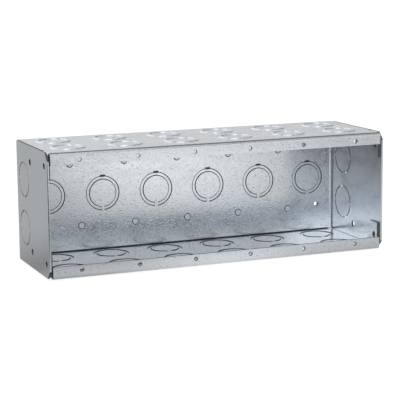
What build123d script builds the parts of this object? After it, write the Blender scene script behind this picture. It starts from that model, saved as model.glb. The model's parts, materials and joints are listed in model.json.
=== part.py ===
from build123d import *
import os

os.makedirs("parts", exist_ok=True)

# Sizes that are set by themselves, in millimetres
gang_count = 6
gang_pitch = 46.04
device_hole_spacing = 83.34
device_hole_edge = 5.955
device_hole_radius = 1.7
box_depth = 90.5
sheet = 1.6
seam_gap = 0.4
tray_bend_inside = 0.8
wrap_bend_inside = 2.0
front_flange_height = 9.5
front_flange_inset = 0.6
back_flange_margin = 3.5
end_corner_cut = 6.35
knockout_radius = 14.1
inner_knockout_radius = 11.1
knockout_tie = 2.5
end_knockout_radius = 13.6
end_knockout_slit = 0.35
end_knockout_tie_count = 4
ring_step = 0.5
pry_slot_length = 4.0
pry_slot_width = 1.6
pry_slot_depth = 1.1
end_hole_radius = 2.6
end_hole_edge = 12.6
tab_width = 16.0
tab_height = 21.0
tab_corner_cut = 3.0
tab_relief = 0.8
tab_hole_radius = 2.4
tab_hole_edge = 5.0
ground_hole_radius = 2.1
ground_hole_offset = 8.8
ground_hole_edge = 6.0

# Places of rows of holes, as shares of the depth or the height
tray_first_row_share = 1 / 3
tray_row_spacing_share = 3 / 7
end_knockout_row_share = 0.73
end_knockout_spacing_share = 2 / 5
end_hole_row_share = 0.52

# Sizes that follow from those above
box_height = device_hole_spacing + 2 * device_hole_edge
tray_length = gang_count * gang_pitch
inside_width = tray_length + 2 * seam_gap
box_width = inside_width + 2 * sheet
front = -box_depth / 2
back = box_depth / 2
middle = box_height / 2
wall_outside = back - sheet
wall_inside = wall_outside - sheet
tray_bend_outside = tray_bend_inside + sheet
wrap_bend_outside = wrap_bend_inside + sheet
wall_bottom = tray_bend_outside + seam_gap / 4
wall_corner_bottom = sheet + seam_gap / 4
wall_bend_start = wall_outside - wrap_bend_outside
wall_flat_reach = box_width / 2 - wrap_bend_outside
front_flange_length = tray_length - 2 * front_flange_inset
back_flange_length = 2 * (wall_flat_reach - seam_gap)
back_flange_height = middle - knockout_radius - back_flange_margin
tray_knockout_row = front + box_depth * tray_first_row_share
tray_knockout_spacing = box_depth * tray_row_spacing_share
end_knockout_row = front + box_depth * end_knockout_row_share
end_knockout_spacing = box_height * end_knockout_spacing_share
end_hole_row = front + box_depth * end_hole_row_share
tab_front = front + tray_bend_outside + tab_relief
tab_bend_start = inside_width / 2 - tray_bend_outside
tab_hole_row = tab_front + tab_hole_edge
gang_centres = [(i - (gang_count - 1) / 2) * gang_pitch for i in range(gang_count)]
ground_hole_x = gang_centres[-1] + ground_hole_offset
ground_hole_height = back_flange_height - ground_hole_edge
past = 1.0


def block(x0, x1, y0, y1, z0, z1):
    """A block between two opposite corners."""
    return Pos((x0 + x1) / 2, (y0 + y1) / 2, (z0 + z1) / 2) * Box(x1 - x0, y1 - y0, z1 - z0)


def pin(radius, depth):
    """A cylinder that runs from local Z = 0 down to -depth."""
    return Pos(0, 0, -depth / 2) * Cylinder(radius, depth)


def turned_over(shape):
    """The same shape after half a turn about the line through the box's middle from front to back."""
    return Pos(0, 0, box_height) * Rot(0, 180, 0) * shape


def mirrored(shape):
    """The same shape at the other end of the box."""
    return mirror(shape, Plane.YZ)


def nested_knockout():
    """Ring groove and pry slot of two nested knockouts, below a face at local Z = 0."""
    ring = pin(knockout_radius, ring_step) - pin(inner_knockout_radius, ring_step)
    ring -= block(-knockout_tie / 2, knockout_tie / 2, -knockout_radius - past, 0, -ring_step, 0)
    reach = knockout_radius + pry_slot_width / 2
    slot = block(-pry_slot_length / 2, pry_slot_length / 2, reach - pry_slot_width, reach, -pry_slot_depth, 0)
    return ring + slot


def slit_knockout():
    """Slits that cut one knockout free between its ties, through a sheet below local Z = 0."""
    plan = Circle(end_knockout_radius) - Circle(end_knockout_radius - end_knockout_slit)
    ties = PolarLocations(end_knockout_radius, end_knockout_tie_count)
    plan -= ties * Rectangle(4 * end_knockout_slit, knockout_tie)
    return extrude(plan, -sheet)


# Back wall and both ends, bent from one strip
plan_depth = wall_outside - front
outline = Pos(0, front + plan_depth / 2) * Rectangle(box_width, plan_depth)
outline = fillet(outline.vertices().group_by(Axis.Y)[-1], wrap_bend_outside)
hollow_depth = plan_depth - sheet + past
hollow = Pos(0, wall_inside - hollow_depth / 2) * Rectangle(inside_width, hollow_depth)
hollow = fillet(hollow.vertices().group_by(Axis.Y)[-1], wrap_bend_inside)
wrap = extrude(outline - hollow, box_height)

wall_relief = block(-box_width, box_width, wall_bend_start, back, 0, wall_corner_bottom)
wall_relief += block(-wall_flat_reach, wall_flat_reach, wall_bend_start, back, 0, wall_bottom)
corner = Polygon((front, 0), (front + end_corner_cut, 0), (front, end_corner_cut), align=None)
corner = extrude(Plane.YZ * corner, box_width, both=True)
ground_hole = Pos(ground_hole_x, wall_outside, ground_hole_height) * Rot(90, 0, 0)
ground_hole *= Cylinder(ground_hole_radius, 4 * sheet)
for cut in (wall_relief, corner, ground_hole):
    wrap -= [cut, turned_over(cut)]

back_face = Plane((0, wall_inside, middle), x_dir=(1, 0, 0), z_dir=(0, -1, 0))
wrap -= [back_face * Pos(x, 0) * nested_knockout() for x in gang_centres]

end_face = Pos(box_width / 2, end_knockout_row, middle + end_knockout_spacing / 2) * Rot(0, 90, 0)
end_knockout = end_face * slit_knockout()
end_hole = Pos(box_width / 2, end_hole_row, box_height - end_hole_edge)
end_hole *= Rot(0, 90, 0) * pin(end_hole_radius, sheet)
tab_hole = Pos(box_width / 2, tab_hole_row, box_height - tab_height / 2)
tab_hole *= Rot(0, 90, 0) * pin(tab_hole_radius, 3 * sheet)
for cut in (end_knockout, end_hole, tab_hole):
    wrap -= [cut, mirrored(cut), turned_over(cut), mirrored(turned_over(cut))]

# Bottom tray: floor, front flange, back flange and corner tabs, bent from one sheet
section = Pos(0, box_height / 2) * Rectangle(box_depth, box_height)
section = fillet(section.vertices().group_by(Axis.Y)[0], tray_bend_outside)
pocket = Pos(0, sheet + box_height / 2) * Rectangle(box_depth - 2 * sheet, box_height)
pocket = fillet(pocket.vertices().group_by(Axis.Y)[0], tray_bend_inside)
tray = extrude(Plane.YZ * (section - pocket), tray_length / 2, both=True)
tray -= block(-box_width, box_width, front, front + sheet, front_flange_height, box_height)
tray -= block(-box_width, box_width, wall_outside, back, back_flange_height, box_height)

front_end = block(front_flange_length / 2, box_width, front, front + tray_bend_outside, 0, front_flange_height)
back_end = block(back_flange_length / 2, box_width, back - tray_bend_outside, back, 0, back_flange_height)
tab_root = tab_bend_start - tab_relief
tab_back = tab_front + tab_width
tab_room = block(tab_root, box_width, tab_front - tab_relief, tab_back + tab_relief, 0, sheet)
for cut in (front_end, back_end, tab_room):
    tray -= [cut, mirrored(cut)]

tab_face = inside_width / 2
tab_plan = Pos((tab_root + tab_face) / 2, tab_height / 2) * Rectangle(tab_face - tab_root, tab_height)
tab_plan = fillet(tab_plan.vertices().group_by(Axis.Y)[0].sort_by(Axis.X)[-1], tray_bend_outside)
tab_clear = Pos((tab_root + tab_face) / 2 - sheet, tab_height / 2 + sheet)
tab_clear *= Rectangle(tab_face - tab_root, tab_height)
tab_clear = fillet(tab_clear.vertices().group_by(Axis.Y)[0].sort_by(Axis.X)[-1], tray_bend_inside)
tab = Pos(0, tab_front, 0) * extrude(Plane.XZ * (tab_plan - tab_clear), -tab_width)
tab = chamfer(tab.edges().filter_by(Axis.X).group_by(Axis.Z)[-1].sort_by(Axis.Y)[-1], tab_corner_cut)
tab -= turned_over(mirrored(tab_hole))
tray += [tab, mirrored(tab)]

for x in gang_centres:
    device_hole = Pos(x, front, device_hole_edge) * Rot(90, 0, 0)
    tray -= device_hole * pin(device_hole_radius, sheet)
    for row in (tray_knockout_row, tray_knockout_row + tray_knockout_spacing):
        tray += Pos(x, row, 0) * pin(knockout_radius, ring_step)
tray -= ground_hole

# The box stands on the bottom tray's knockouts, which are pushed out of the sheet
nodes = {"back_and_ends": wrap, "bottom_tray": tray, "top_tray": turned_over(tray)}
for name, sheet_metal in nodes.items():
    solid = Pos(0, 0, ring_step) * sheet_metal
    solid.label = name
    export_step(solid, f"parts/{name}.step")
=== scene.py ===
# %% [markdown]
# A multi-gang box is the steel box that a row of switches or sockets is screwed into, here for six devices
# side by side and open at the front. Three sheets make it: a strip that is bent into the back wall and both
# ends, and two trays that close it below and above. The CAD model already has their sizes, bends, holes and
# most of their relief. This scene loads it, adds the fine pressed detail and the zinc finish, and lights it.

# %% Load the frame
import json
from math import asin, cos, pi, radians, sin

import bmesh
import bpy
from mathutils import Matrix, Vector
from mathutils.bvhtree import BVHTree
from mathutils.geometry import area_tri


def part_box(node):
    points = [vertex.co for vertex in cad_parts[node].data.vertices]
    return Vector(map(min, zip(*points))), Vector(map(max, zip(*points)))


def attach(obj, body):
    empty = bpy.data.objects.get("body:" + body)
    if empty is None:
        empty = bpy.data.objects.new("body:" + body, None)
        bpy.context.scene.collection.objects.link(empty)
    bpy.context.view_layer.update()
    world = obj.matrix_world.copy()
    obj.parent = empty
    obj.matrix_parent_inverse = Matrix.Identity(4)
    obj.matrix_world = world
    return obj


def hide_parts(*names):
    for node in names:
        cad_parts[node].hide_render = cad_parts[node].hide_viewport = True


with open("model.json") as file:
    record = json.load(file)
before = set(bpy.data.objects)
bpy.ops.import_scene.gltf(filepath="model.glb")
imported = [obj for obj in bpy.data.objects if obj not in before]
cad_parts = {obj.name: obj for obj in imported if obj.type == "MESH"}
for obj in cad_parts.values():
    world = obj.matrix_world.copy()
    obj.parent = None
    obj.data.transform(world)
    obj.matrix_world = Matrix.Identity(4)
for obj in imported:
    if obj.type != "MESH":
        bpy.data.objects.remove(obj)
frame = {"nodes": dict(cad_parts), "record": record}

scene = bpy.context.scene
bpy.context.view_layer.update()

# %% [markdown]
# The photograph was taken from the front left and a little above. A camera can be placed by eye, but its
# place and lens also follow from the picture: corners, holes and knockouts whose real sizes are known fix
# both. The camera below was fitted that way, so it is given by its place, its view line and the line to
# its right.

# %% Camera
SENSOR_MM = 36.0
LENS_MM = 129.23
NEAREST = 0.01
FARTHEST = 50.0
camera_place = Vector((-0.42599, -1.05229, 0.24203))
view_line = Vector((0.36881, 0.91344, -0.17205)).normalized()
view_right = Vector((0.92657, -0.37599, -0.00995)).normalized()

lens = bpy.data.cameras.new("photo_camera")
lens.sensor_width = SENSOR_MM
lens.lens = LENS_MM
lens.clip_start = NEAREST
lens.clip_end = FARTHEST
camera = bpy.data.objects.new("photo_camera", lens)
turn = Matrix((view_right, view_right.cross(view_line), -view_line)).transposed()
camera.matrix_world = Matrix.Translation(camera_place) @ turn.to_4x4()
scene.collection.objects.link(camera)
scene.camera = camera
print("Camera distance in metres:", round(camera_place.length, 3))

# %% [markdown]
# Pressed detail goes where the CAD says. So the places of walls come from the boxes around the sheets, the
# gang spacing comes from the record's device screws, and the knockout rows take the same shares of the depth
# as in the CAD. Only these shares, the sheet's thickness and the sizes of the pressed marks are written out.

# %% Places and sizes
MM = 0.001
SHEET = 1.6 * MM
RING_STEP = 0.5 * MM
KNOCKOUT_RADIUS = 14.1 * MM
INNER_KNOCKOUT_RADIUS = 11.1 * MM
TIE_WIDTH = 2.5 * MM
GANGS = 6
FIRST_ROW_SHARE = 1 / 3
ROW_SPACING_SHARE = 3 / 7

strip_low, strip_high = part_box("back_and_ends")
tray_low, tray_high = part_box("bottom_tray")
front = tray_low.y
depth = tray_high.y - front
wall_outside = strip_high.y
wall_inside = wall_outside - SHEET
tray_outside = strip_low.z
middle = (strip_low.z + strip_high.z) / 2

mounts = {mount["name"]: mount for mount in frame["record"]["mounts"]}
outer_screws = mounts["outer_device_screws"]["dims"]
gang_pitch = outer_screws["spacing_x_mm"] * MM / (GANGS - 1)
gang_centres = [(i - (GANGS - 1) / 2) * gang_pitch for i in range(GANGS)]
first_row = front + depth * FIRST_ROW_SHARE
knockout_rows = [first_row, first_row + depth * ROW_SPACING_SHARE]
print("Gang pitch in mm:", round(gang_pitch / MM, 2))
print("Knockout rows in mm:", [round(y / MM, 1) for y in knockout_rows])

# %% [markdown]
# Galvanised steel is sheet steel under a coat of zinc: a bright, slightly blue metal with a soft mirror. Its
# colour hardly changes over the sheet. What the eye sees are small dents and short rolling marks that turn
# the reflections a little, faint waves, cloudy patches in the gloss and a few dark specks. So the marks and
# waves are bumps, the clouds vary the roughness, and only the specks are painted. All patterns are noise,
# stretched along the sheet where the rolls drew them out.

# %% Galvanised steel
ZINC = (0.762, 0.80, 0.838)
ZINC_SPECK = (0.40, 0.43, 0.46)
SPECK_SPOTS = (520, 820, 820)
SPECK_RANGE = (0.59, 0.71)
SPECK_STRENGTH = 0.62
CLOUD_SPOTS = (60, 120, 120)
CLOUD_RANGE = (0.3, 0.7)
WAVE_SPOTS = (12, 25, 25)
WAVE_DEPTH = 0.20 * MM
WAVE_STRENGTH = 0.5
MARK_SPOTS = (420, 900, 900)
MARK_RANGE = (0.50, 0.70)
MARK_DEPTH = 0.035 * MM
MARK_STRENGTH = 0.8


def pattern(tree, spots, detail):
    """Noise on the sheet's own coordinates, with a number of spots per metre along X, Y and Z."""
    place = tree.nodes.new("ShaderNodeTexCoord")
    draw_out = tree.nodes.new("ShaderNodeMapping")
    draw_out.inputs["Scale"].default_value = spots
    noise = tree.nodes.new("ShaderNodeTexNoise")
    noise.inputs["Scale"].default_value = 1.0
    noise.inputs["Detail"].default_value = detail
    tree.links.new(place.outputs["Object"], draw_out.inputs["Vector"])
    tree.links.new(draw_out.outputs["Vector"], noise.inputs["Vector"])
    return noise.outputs["Fac"]


def remap(tree, value, low, high, to_low, to_high):
    """Turns the part of a value between low and high into a smooth rise between two other values."""
    change = tree.nodes.new("ShaderNodeMapRange")
    change.interpolation_type = "SMOOTHSTEP"
    change.inputs["From Min"].default_value = low
    change.inputs["From Max"].default_value = high
    change.inputs["To Min"].default_value = to_low
    change.inputs["To Max"].default_value = to_high
    tree.links.new(value, change.inputs["Value"])
    return change.outputs["Result"]


def dent(tree, height, deep, strength, over=None):
    """Bumps of a given depth in metres, laid over other bumps."""
    bump = tree.nodes.new("ShaderNodeBump")
    bump.inputs["Distance"].default_value = deep
    bump.inputs["Strength"].default_value = strength
    tree.links.new(height, bump.inputs["Height"])
    if over is not None:
        tree.links.new(over, bump.inputs["Normal"])
    return bump.outputs["Normal"]


def new_metal(name):
    """A plain metal: the material, its node tree and its shader."""
    material = bpy.data.materials.new(name)
    material.use_nodes = True
    shader = material.node_tree.nodes["Principled BSDF"]
    shader.inputs["Metallic"].default_value = 1.0
    return material, material.node_tree, shader


def colour(tree, shader, main, other, share):
    """Gives a metal a mix of two tones, with the share of the second one from a pattern."""
    tone = tree.nodes.new("ShaderNodeMix")
    tone.data_type = "RGBA"
    tone.inputs["A"].default_value = (*main, 1)
    tone.inputs["B"].default_value = (*other, 1)
    tree.links.new(share, tone.inputs["Factor"])
    tree.links.new(tone.outputs["Result"], shader.inputs["Base Color"])


def galvanised_steel(name, smoothest, roughest):
    """Zinc-coated sheet: a soft mirror with waves, rolling marks, cloudy gloss and a few dark specks."""
    material, tree, shader = new_metal(name)
    specks = remap(tree, pattern(tree, SPECK_SPOTS, 2), *SPECK_RANGE, 0.0, SPECK_STRENGTH)
    colour(tree, shader, ZINC, ZINC_SPECK, specks)
    gloss = remap(tree, pattern(tree, CLOUD_SPOTS, 4), *CLOUD_RANGE, smoothest, roughest)
    tree.links.new(gloss, shader.inputs["Roughness"])
    waves = dent(tree, pattern(tree, WAVE_SPOTS, 1), WAVE_DEPTH, WAVE_STRENGTH)
    marks = remap(tree, pattern(tree, MARK_SPOTS, 3), *MARK_RANGE, 1.0, 0.0)
    tree.links.new(dent(tree, marks, MARK_DEPTH, MARK_STRENGTH, waves), shader.inputs["Normal"])
    return material


zinc = galvanised_steel("galvanised_steel", smoothest=0.15, roughest=0.22)
print("Finish:", zinc.name, "with", len(zinc.node_tree.nodes), "nodes")

# %% [markdown]
# Where a sheet was sheared or punched after it was galvanised, the cut shows bare steel, which is darker and
# rougher than zinc. It is seen in narrow places only: in the slits and pry slots of the knockouts, on the
# walls and threads of the holes and along the cut edges of the flanges, tabs and ends. A second material
# makes these places read as fine dark lines. Its colour is much darker than bare steel: it is painted shade,
# for the little light that gets into these slits, holes and gaps.

# %% Bare cut edges and painted shade
# The dark tones are bare steel darkened into painted shade for slits, holes and gaps.
BARE_SHADE_DARK = (0.10, 0.105, 0.11)
BARE_SHADE_PALE = (0.19, 0.20, 0.21)
BARE_SHADE_SPOTS = (900, 900, 2500)
TORN_SPOTS = (2500, 2500, 700)
TORN_RANGE = (0.2, 0.8)
TORN_ROUGHNESS = (0.45, 0.65)


def bare_steel_with_shade():
    """Torn, unpolished steel of a sheared edge, darkened further as painted shade."""
    material, tree, shader = new_metal("bare_cut_edge_and_shade")
    colour(tree, shader, BARE_SHADE_DARK, BARE_SHADE_PALE, pattern(tree, BARE_SHADE_SPOTS, 3))
    torn = remap(tree, pattern(tree, TORN_SPOTS, 2), *TORN_RANGE, *TORN_ROUGHNESS)
    tree.links.new(torn, shader.inputs["Roughness"])
    return material


bare_and_shade = bare_steel_with_shade()
print("Finish:", bare_and_shade.name, "with", len(bare_and_shade.node_tree.nodes), "nodes")

# %% [markdown]
# A CAD mesh comes as loose triangles. To press more relief into a sheet, a copy of it is welded into one
# skin and its flat faces are made whole again. A boolean then cuts or joins closed tool shapes, as a press
# tool would. Modelling each sheet again from nothing would work too, but the copy is sure to keep every hole
# in its place.

# %% Helpers for pressing a sheet
WELD = 0.002 * MM
FLAT = radians(0.5)


def weld(work):
    """Joins doubled vertices and makes flat areas whole."""
    bmesh.ops.remove_doubles(work, verts=work.verts, dist=WELD)
    bmesh.ops.dissolve_limit(work, angle_limit=FLAT, verts=work.verts, edges=work.edges)


def new_object(work, name):
    """Turns a bmesh into an object at the origin."""
    mesh = bpy.data.meshes.new(name)
    work.to_mesh(mesh)
    work.free()
    thing = bpy.data.objects.new(name, mesh)
    scene.collection.objects.link(thing)
    return thing


def copy_of(node):
    """A welded copy of a CAD sheet."""
    work = bmesh.new()
    work.from_mesh(frame["nodes"][node].data)
    weld(work)
    sheet = new_object(work, "pressed_" + node)
    sheet.data.materials.append(zinc)
    return sheet


def press(sheet, work, operation, finish):
    """Cuts a tool's closed shapes from a sheet, or joins them to it; new faces take the given finish."""
    bmesh.ops.remove_doubles(work, verts=work.verts, dist=WELD)
    bmesh.ops.recalc_face_normals(work, faces=work.faces)
    tool = new_object(work, "tool")
    tool.data.materials.append(finish)
    boolean = sheet.modifiers.new("press", "BOOLEAN")
    boolean.solver = "EXACT"
    boolean.operation = operation
    boolean.material_mode = "TRANSFER"
    boolean.object = tool
    evaluated = sheet.evaluated_get(bpy.context.evaluated_depsgraph_get())
    pressed = bpy.data.meshes.new_from_object(evaluated)
    sheet.modifiers.remove(boolean)
    sheet.data = pressed
    bpy.data.objects.remove(tool)
    print(sheet.name, operation.lower(), "gives", len(pressed.polygons), "faces")


# %% [markdown]
# Every knockout in the trays and the back wall is two circles, one in the other. The press pushes the ring
# between them half a millimetre out of the sheet, so it stands proud outside and is sunk inside, and leaves
# it joined at one tie. Along both circles the punch shears the sheet, which shows as a fine dark slit. A ring
# is a small square section spun round an axis, with the tie left open, and so is a slit.

# %% Helpers for rings, discs and blocks
RING_STEPS = 48
PAST = 1.0 * MM
SLIT_WIDTH = 0.35 * MM
SLIT_OVERLAP = 0.1 * MM
SLIT_DEPTH = 0.9 * MM


def tool_place(x, y, z, axis):
    """A tool's frame at a point, with its local Z along an axis and its local Y upwards or to the back."""
    local_z = Vector(axis)
    local_y = Vector((0, 1, 0)) if local_z.z else Vector((0, 0, 1))
    local_x = local_y.cross(local_z)
    return Matrix.Translation((x, y, z)) @ Matrix((local_x, local_y, local_z)).transposed().to_4x4()


def add_ring(work, place, inner, outer, low, high, ties=1):
    """Adds a ring of square section that is open at its ties, the first of them towards the tool's -Y."""
    half_gap = asin(TIE_WIDTH / 2 / outer)
    arc = 2 * pi / ties
    for tie in range(ties):
        start = tie * arc - pi / 2 + half_gap
        corners = []
        for radius, height in ((inner, low), (outer, low), (outer, high), (inner, high)):
            corner = Vector((radius * cos(start), radius * sin(start), height))
            corners.append(work.verts.new(place @ corner))
        section = work.faces.new(corners)
        bmesh.ops.spin(
            work,
            geom=[section, *section.edges, *corners],
            cent=place.translation,
            axis=place.to_3x3() @ Vector((0, 0, 1)),
            angle=arc - 2 * half_gap,
            steps=RING_STEPS // ties,
        )


def add_slits(work, place):
    """Adds the narrow slits along both circles of a nested knockout, below a face at local Z = 0."""
    for radius in (INNER_KNOCKOUT_RADIUS, KNOCKOUT_RADIUS - SLIT_WIDTH):
        inner = radius - SLIT_OVERLAP
        outer = radius + SLIT_WIDTH + SLIT_OVERLAP
        add_ring(work, place, inner, outer, -SLIT_DEPTH, PAST)


def add_disc(work, place, radius, low, high, top_radius=None):
    """Adds a closed cylinder between two heights in a tool's frame, or a blunt cone with its own top."""
    bmesh.ops.create_cone(
        work,
        cap_ends=True,
        segments=RING_STEPS,
        radius1=radius,
        radius2=top_radius or radius,
        depth=high - low,
        matrix=place @ Matrix.Translation((0, 0, (low + high) / 2)),
    )


def add_block(work, place, low, high):
    """Adds a block between two opposite corners in a tool's frame."""
    low, high = Vector(low), Vector(high)
    size = Matrix.Diagonal((*(high - low), 1))
    bmesh.ops.create_cube(work, size=1, matrix=place @ Matrix.Translation((low + high) / 2) @ size)


# %% [markdown]
# The trays: outside, each raised disc of the CAD is hollowed to leave a raised ring, with a half-height tie
# towards the front and a short pry slot at the back for a screwdriver. Inside, the ring is sunk by as much.
# On the back flange a round dent marks each clinch, where a punch has locked the tray to the back wall.

# %% Press the trays
TIE_REST = RING_STEP / 2
PRY_SLOT_LENGTH = 4.0 * MM
PRY_SLOT_WIDTH = 1.6 * MM
PRY_SLOT_DEPTH = 1.1 * MM
CLINCH_SHIFT = 4.45 * MM
CLINCH_HEIGHT = 22.2 * MM
CLINCH_DENT_RADIUS = 2.3 * MM
CLINCH_DENT_DEPTH = 1.0 * MM
clinch_columns = [(i - (GANGS - 2) / 2) * gang_pitch + CLINCH_SHIFT for i in range(GANGS - 1)]


def add_pry_slot(work, place, face, margin=0.0):
    """Adds a knockout's pry slot, cut into a face at a given height; a margin makes it larger all round."""
    half_length = PRY_SLOT_LENGTH / 2 + margin
    half_width = PRY_SLOT_WIDTH / 2 + margin
    low = (-half_length, KNOCKOUT_RADIUS - half_width, face - PRY_SLOT_DEPTH - margin)
    high = (half_length, KNOCKOUT_RADIUS + half_width, face + PAST + margin)
    add_block(work, place, low, high)


def press_tray(node, up):
    """A tray whose knockouts are nested rings; up is 1 for the bottom tray and -1 for the top one."""
    outside = middle - up * (middle - tray_outside)
    inside = outside + up * SHEET
    tie_low = (-TIE_WIDTH / 2, -KNOCKOUT_RADIUS - PAST, TIE_REST)
    tie_high = (TIE_WIDTH / 2, -INNER_KNOCKOUT_RADIUS + PAST, RING_STEP + PAST)
    tray = copy_of(node)
    hollows, ties, slots, grooves, slits, dents = [bmesh.new() for _ in range(6)]
    for x in gang_centres:
        for y in knockout_rows:
            below = tool_place(x, y, outside, (0, 0, -up))
            above = tool_place(x, y, inside, (0, 0, up))
            add_disc(hollows, below, INNER_KNOCKOUT_RADIUS, 0, RING_STEP + PAST)
            add_block(ties, below, tie_low, tie_high)
            add_pry_slot(slots, below, RING_STEP)
            add_ring(grooves, above, INNER_KNOCKOUT_RADIUS, KNOCKOUT_RADIUS, -RING_STEP, PAST)
            add_slits(slits, above)
    for x in clinch_columns:
        behind = tool_place(up * x, tray_high.y, outside + up * CLINCH_HEIGHT, (0, 1, 0))
        add_disc(dents, behind, CLINCH_DENT_RADIUS, -CLINCH_DENT_DEPTH, PAST)
    for tool in (hollows, ties, grooves, dents):
        press(tray, tool, "DIFFERENCE", zinc)
    # Slots and slits get the dark cut-edge steel, painted shade in these narrow cuts.
    for tool in (slots, slits):
        press(tray, tool, "DIFFERENCE", bare_and_shade)
    return tray


bottom_tray = press_tray("bottom_tray", 1)
top_tray = press_tray("top_tray", -1)

# %% [markdown]
# The strip: its knockouts are sunk on the inside of the back wall already, so they only get their slits
# there, and their pry slots are cut again a hair larger, so that the slots' walls turn to bare steel, whose
# dark colour is painted shade. The same rings are raised on the outside, with their ties at the bottom. On
# the inside each clinch shows as a low round button, pressed through both sheets: five along the bottom
# flange and five along the top one, which is the same tray turned over. A blunt cone, sunk in the wall, makes
# a button.
# The punch leaves the zinc there dull, so a button gets the same steel with a rougher face.

# %% Press the back wall
END_KNOCKOUT_RADIUS = 13.6 * MM
END_TIES = 4
END_SLIT_OVERLAP = 0.22 * MM
END_ROW_SHARE = 0.73
END_SPACING_SHARE = 2 / 5
BUTTON_FOOT = 3.4 * MM
BUTTON_TOP = 2.3 * MM
BUTTON_RISE = 0.6 * MM
OVERLAP = 0.4 * MM
end_knockout_row = front + depth * END_ROW_SHARE
end_knockout_spacing = (strip_high.z - strip_low.z) * END_SPACING_SHARE
dulled = galvanised_steel("dulled_zinc", smoothest=0.36, roughest=0.44)


def press_strip():
    """The strip with slit knockouts, rings raised on the back of its wall and clinch buttons inside."""
    strip = copy_of("back_and_ends")
    slits, slots, rings, buttons = [bmesh.new() for _ in range(4)]
    for x in gang_centres:
        before = tool_place(x, wall_inside, middle, (0, -1, 0))
        add_slits(slits, before)
        add_pry_slot(slots, before, 0, SLIT_OVERLAP)
        behind = tool_place(x, wall_outside, middle, (0, 1, 0))
        add_ring(rings, behind, INNER_KNOCKOUT_RADIUS, KNOCKOUT_RADIUS, -OVERLAP, RING_STEP)
    inner = END_KNOCKOUT_RADIUS - SLIT_WIDTH - END_SLIT_OVERLAP
    outer = END_KNOCKOUT_RADIUS + END_SLIT_OVERLAP
    for side in (1, -1):
        for shift in (1, -1):
            height = middle + shift * end_knockout_spacing / 2
            beside = tool_place(side * strip_high.x, end_knockout_row, height, (side, 0, 0))
            add_ring(slits, beside, inner, outer, -SHEET - PAST, PAST, END_TIES)
    for x in clinch_columns:
        for up in (1, -1):
            height = middle - up * (middle - tray_outside - CLINCH_HEIGHT)
            before = tool_place(up * x, wall_inside, height, (0, -1, 0))
            add_disc(buttons, before, BUTTON_FOOT, -OVERLAP, BUTTON_RISE, BUTTON_TOP)
    # Slits and slots get the dark cut-edge steel, painted shade in these narrow cuts.
    for tool in (slits, slots):
        press(strip, tool, "DIFFERENCE", bare_and_shade)
    press(strip, rings, "UNION", zinc)
    press(strip, buttons, "UNION", dulled)
    return strip


back_and_ends = press_strip()

# %% [markdown]
# The device holes are tapped, so that a switch can be screwed on without a nut. The thread is a ridge that
# winds down the wall of the hole. A small triangle, spun round the hole's axis and moved on by one pitch per
# turn, makes one, and it is left as its own small piece in each hole. The two holes for a ground screw get a
# thread too.

# %% Cut the threads
THREAD_PITCH = 0.79 * MM
THREAD_RISE = 0.25 * MM
THREAD_SINK = 0.05 * MM
TURN_STEPS = 28


def add_thread(work, place, radius, length):
    """Adds the ridge of a thread along a hole's wall, from local Z = 0 down."""
    turns = (length - THREAD_PITCH) / THREAD_PITCH
    steps = round(TURN_STEPS * turns)
    root = radius + THREAD_SINK
    crest = radius - THREAD_RISE
    corners = []
    for reach, height in ((root, 0), (crest, -THREAD_PITCH / 2), (root, -THREAD_PITCH)):
        corners.append(work.verts.new(place @ Vector((reach, 0, height))))
    section = work.faces.new(corners)
    axis = place.to_3x3() @ Vector((0, 0, 1))
    bmesh.ops.spin(
        work,
        geom=[section, *section.edges, *corners],
        cent=place.translation,
        axis=axis,
        dvec=-axis * THREAD_PITCH * turns / steps,
        angle=2 * pi * turns,
        steps=steps,
    )


work = bmesh.new()
screw_rows = [middle + side * outer_screws["spacing_y_mm"] * MM / 2 for side in (1, -1)]
for z in screw_rows:
    for x in gang_centres:
        add_thread(work, tool_place(x, front, z, (0, -1, 0)), outer_screws["hole_r_mm"] * MM, SHEET)
for name in ("lower_ground_screw", "upper_ground_screw"):
    x, _, z = mounts[name]["pos_m"]
    hole = tool_place(x, wall_inside, z, (0, -1, 0))
    add_thread(work, hole, mounts[name]["dims"]["r_mm"] * MM, 2 * SHEET)
bmesh.ops.recalc_face_normals(work, faces=work.faces)
threads = new_object(work, "screw_threads")
# The threads get the dark cut-edge steel, painted shade inside the holes.
threads.data.materials.append(bare_and_shade)
threads.data.shade_smooth()
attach(threads, "root")
print("Threads have", len(threads.data.polygons), "faces")

# %% [markdown]
# Sheared and folded steel has no perfectly sharp edge, and the thin bright line along each edge is what makes
# sheet metal look real. A bevel of a tenth of a millimetre or so on every sharp edge gives it. It stays a
# modifier, limited by a weight on each edge, so that the facets of bends and holes are left alone and the
# freshly punched rings outside stay crisp. Only the front edges of the two ends, which a hand could touch,
# are rolled rounder before that. Bare steel, darkened into painted shade, goes on the sheared edges. They can
# be told from the rest because there is more metal behind them than the sheet is thick.

# %% Round the edges
EDGE_ROUND = 0.12 * MM
EDGE_STEPS = 2
CRISP = 0.6
END_ROUND = 0.45 * MM
END_STEPS = 3
SHARP = radians(40)
THICK = 1.5 * SHEET
TOUCH = 0.01 * MM
FACING = 0.5
AREA_ONLY = 100


def round_end_fronts(work):
    """Rolls the upright front edges of the two ends."""
    uprights = []
    for edge in work.edges:
        low, high = edge.verts[0].co, edge.verts[1].co
        if max(abs(low.y - front), abs(high.y - front), abs(low.x - high.x)) < TOUCH:
            uprights.append(edge)
    bmesh.ops.bevel(
        work,
        geom=uprights,
        offset=END_ROUND,
        offset_type="OFFSET",
        affect="EDGES",
        segments=END_STEPS,
        profile=0.5,
        material=-1,
    )


def on_tray_ring(point):
    """Whether a point lies on the rings that the trays' knockouts raise below or above the box."""
    return not strip_low.z - TOUCH < point.z < strip_high.z + TOUCH


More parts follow.
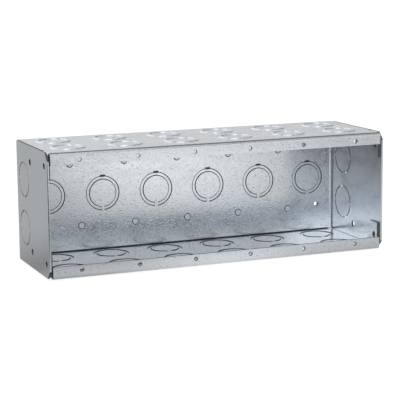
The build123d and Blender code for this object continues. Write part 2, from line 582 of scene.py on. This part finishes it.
def mark_cut_edges(work, bare_shade_index, is_strip):
    """Gives the cut-edge steel, dark as painted shade, to faces with much metal behind them, except on rolled
    fronts and raised rings.
    """
    skin = BVHTree.FromBMesh(work)
    widest = {}
    for loops in work.calc_loop_triangles():
        corners = [loop.vert.co for loop in loops]
        area = area_tri(*corners)
        if area > widest.get(loops[0].face, (0, None))[0]:
            widest[loops[0].face] = (area, (corners[0] + corners[1] + corners[2]) / 3)
    cut = 0
    for face, (_, point) in widest.items():
        behind = skin.ray_cast(point - face.normal * TOUCH, -face.normal, THICK)[0]
        rolled = is_strip and face.normal.y < -FACING and point.y < front + 2 * END_ROUND
        raised = on_tray_ring(point) or (is_strip and point.y > wall_outside)
        if behind is None and not rolled and not raised:
            face.material_index = bare_shade_index
            cut += 1
    return cut


def weigh_edges(work):
    """Marks every sharp edge for rounding, with a smaller round on the rings outside the trays."""
    weight = work.edges.layers.float.new("bevel_weight_edge")
    for edge in work.edges:
        if edge.calc_face_angle(0) > SHARP:
            on_ring = on_tray_ring(edge.verts[0].co) or on_tray_ring(edge.verts[1].co)
            edge[weight] = CRISP if on_ring else 1.0


def finish_sheet(sheet, node):
    """Welds a pressed sheet, rounds its edges and puts it in its node's place."""
    is_strip = node == "back_and_ends"
    work = bmesh.new()
    work.from_mesh(sheet.data)
    weld(work)
    if is_strip:
        round_end_fronts(work)
    cut = mark_cut_edges(work, sheet.data.materials.find(bare_and_shade.name), is_strip)
    weigh_edges(work)
    loose = [edge for edge in work.edges if not edge.is_manifold]
    work.to_mesh(sheet.data)
    work.free()
    sheet.data.shade_smooth()
    bevel = sheet.modifiers.new("edge_round", "BEVEL")
    bevel.width = EDGE_ROUND
    bevel.segments = EDGE_STEPS
    bevel.limit_method = "WEIGHT"
    bevel.loop_slide = False
    bevel.use_clamp_overlap = False
    even = sheet.modifiers.new("even_shading", "WEIGHTED_NORMAL")
    even.mode = "FACE_AREA"
    even.weight = AREA_ONLY
    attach(sheet, "root")
    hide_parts(node)
    print(sheet.name, "has", len(sheet.data.polygons), "faces,", cut, "of them bare")
    print(sheet.name, "has", len(loose), "open edges")


sheets = {"back_and_ends": back_and_ends, "bottom_tray": bottom_tray, "top_tray": top_tray}
for node, sheet in sheets.items():
    finish_sheet(sheet, node)

# %% [markdown]
# The box stands on a plain white floor. The camera sees it white, with the box's own soft shadow. The metal
# in the photograph, though, mirrors a floor that is brighter in some places than in others. So glossy rays,
# which make the reflections, get another floor than the camera does: a base level, with soft pools added to
# it or taken off. The pools were fitted to this one view. They serve to match the photograph, and the camera
# would not find them on the floor.

# %% Floor
FLOOR_REACH = 8.0
FLOOR_PAINT = 0.3
FLOOR_GLOW = 0.75
FLOOR_LEVEL = 0.46
FLOOR_POOLS = {
    "front": (0.02, -0.61, 1, 0.14, 0.53, 0.57),
    "dim front left": (-0.44, -0.38, 1, 0.27, 0.61, -0.65),
    "before the box": (0.04, -0.27, 1, 0.09, 0.29, 0.34),
    "strip before the flange": (-0.03, -0.062, 3, 0.012, 0.045, 0.30),
    "left corner": (-0.20, -0.12, 1, 0.06, 0.15, 0.40),
    "dim before the left corner": (-0.16, -0.36, 1, 0.06, 0.26, -0.50),
    "dim farther out": (-0.28, -0.62, 1, 0.10, 0.30, -0.60),
    "dim far left": (-0.70, -1.30, 1, 0.35, 0.90, -0.40),
}
DARKEST = 0.02


def feed(tree, value, socket):
    """Writes a plain number on a socket, or links another node's output to it."""
    if isinstance(value, float):
        socket.default_value = value
    else:
        tree.links.new(value, socket)


def calculate(tree, operation, first, second):
    """The result of one step of arithmetic on two values."""
    step = tree.nodes.new("ShaderNodeMath")
    step.operation = operation
    feed(tree, first, step.inputs[0])
    feed(tree, second, step.inputs[1])
    return step.outputs["Value"]


def add_up(tree, level, parts):
    """The sum of a starting level and several values, never below the darkest level."""
    for part in parts:
        level = calculate(tree, "ADD", part, level)
    return calculate(tree, "MAXIMUM", level, DARKEST)


def pool(tree, x, y, stretch, inner, outer, amount):
    """A pool on the floor, full within the inner radius and gone at the outer one, stretched along X."""
    place = tree.nodes.new("ShaderNodeTexCoord")
    centred = tree.nodes.new("ShaderNodeMapping")
    centred.inputs["Location"].default_value = (-x / stretch, -y, 0)
    centred.inputs["Scale"].default_value = (1 / stretch, 1, 1)
    away = tree.nodes.new("ShaderNodeVectorMath")
    away.operation = "LENGTH"
    tree.links.new(place.outputs["Object"], centred.inputs["Vector"])
    tree.links.new(centred.outputs["Vector"], away.inputs[0])
    return remap(tree, away.outputs["Value"], inner, outer, amount, 0.0)


def glow(tree, kind, level):
    """A white emission or background of a given level."""
    light = tree.nodes.new(kind)
    light.inputs["Color"].default_value = (1, 1, 1, 1)
    feed(tree, level, light.inputs["Strength"])
    return light.outputs[0]


def choose(tree, factor, no, yes):
    """One of two shaders."""
    mix = tree.nodes.new("ShaderNodeMixShader")
    tree.links.new(factor, mix.inputs["Fac"])
    tree.links.new(no, mix.inputs[1])
    tree.links.new(yes, mix.inputs[2])
    return mix.outputs["Shader"]


def white_floor():
    """White to the camera, with a soft shadow; reflections get the fitted pools instead."""
    material = bpy.data.materials.new("white_floor")
    material.use_nodes = True
    tree = material.node_tree
    tree.nodes.clear()
    path = tree.nodes.new("ShaderNodeLightPath").outputs
    direct = calculate(tree, "MAXIMUM", path["Is Camera Ray"], path["Is Transmission Ray"])
    seen = calculate(tree, "MULTIPLY", direct, FLOOR_GLOW)
    paint = tree.nodes.new("ShaderNodeBsdfDiffuse")
    paint.inputs["Color"].default_value = (FLOOR_PAINT, FLOOR_PAINT, FLOOR_PAINT, 1)
    white = tree.nodes.new("ShaderNodeAddShader")
    tree.links.new(paint.outputs["BSDF"], white.inputs[0])
    tree.links.new(glow(tree, "ShaderNodeEmission", seen), white.inputs[1])
    pools = add_up(tree, FLOOR_LEVEL, [pool(tree, *values) for values in FLOOR_POOLS.values()])
    mirrored = glow(tree, "ShaderNodeEmission", pools)
    shown = choose(tree, path["Is Glossy Ray"], white.outputs["Shader"], mirrored)
    output = tree.nodes.new("ShaderNodeOutputMaterial")
    tree.links.new(shown, output.inputs["Surface"])
    return material


work = bmesh.new()
bmesh.ops.create_grid(work, x_segments=1, y_segments=1, size=FLOOR_REACH)
floor = new_object(work, "floor")
floor.data.materials.append(white_floor())
print("Floor with", len(FLOOR_POOLS), "pools in its reflections")

# %% [markdown]
# The room is not in the picture. It is plain white for the light that it throws on the floor. In reflections
# it is a studio, fitted to the photograph like the pools: a large softbox high at the front left, a white
# card low at the front right, a bright wall at the left, and darker parts between and behind them. These
# could be lit objects, but soft round patches in the world background are smoother and quicker to render.
# Each patch has an azimuth and an elevation in degrees, an inner and an outer angle, and the level that it
# adds.

# %% Room
ROOM_LEVEL = 0.73
ROOM_PATCHES = {
    "softbox": (240, 40, 8, 42, 1.67),
    "white card": (300, -5, 5, 18, 0.86),
    "gap below the softbox": (219, -4, 11, 33, -0.66),
    "dark corner": (28, 48, 15, 54, -0.55),
    "above the card": (309, 23, 7, 33, -0.24),
    "left wall": (147, 32, 23, 59, 0.60),
}


def patch(tree, azimuth, elevation, inner, outer, amount):
    """A soft round patch of the room, full within the inner angle and gone at the outer one."""
    way = tree.nodes.new("ShaderNodeTexCoord")
    flat = cos(radians(elevation))
    toward = tree.nodes.new("ShaderNodeVectorMath")
    toward.operation = "DOT_PRODUCT"
    toward.inputs[1].default_value = (
        flat * cos(radians(azimuth)),
        flat * sin(radians(azimuth)),
        sin(radians(elevation)),
    )
    tree.links.new(way.outputs["Generated"], toward.inputs[0])
    return remap(tree, toward.outputs["Value"], cos(radians(outer)), cos(radians(inner)), 0.0, amount)


def studio_room():
    """White for all light but reflections, which get a studio with soft lights and darker parts."""
    world = bpy.data.worlds.new("studio_room")
    world.use_nodes = True
    tree = world.node_tree
    tree.nodes.clear()
    path = tree.nodes.new("ShaderNodeLightPath").outputs
    patches = add_up(tree, ROOM_LEVEL, [patch(tree, *values) for values in ROOM_PATCHES.values()])
    mirrored = glow(tree, "ShaderNodeBackground", patches)
    white = glow(tree, "ShaderNodeBackground", 1.0)
    shown = choose(tree, path["Is Glossy Ray"], white, mirrored)
    output = tree.nodes.new("ShaderNodeOutputWorld")
    tree.links.new(shown, output.inputs["Surface"])
    return world


scene.world = studio_room()
scene.view_settings.view_transform = "Standard"
print("Room with", len(ROOM_PATCHES), "patches in its reflections")

# %% [markdown]
# One soft lamp from the front right gives the box a faint shadow on the floor. The metal already mirrors the
# room's own softbox, so the lamp is kept out of its reflections.

# %% Lamp
def softbox(name, place, size, power):
    """A square area lamp that faces the box."""
    lamp = bpy.data.lights.new(name, "AREA")
    lamp.size = size
    lamp.energy = power
    thing = bpy.data.objects.new(name, lamp)
    aim = Vector((0, 0, middle)) - Vector(place)
    thing.matrix_world = Matrix.Translation(place) @ aim.to_track_quat("-Z", "Y").to_matrix().to_4x4()
    thing.visible_glossy = False
    scene.collection.objects.link(thing)
    print("Lamp", name, "of", power, "W")


softbox("key_softbox", place=(0.9, -1.2, 1.1), size=0.8, power=12)
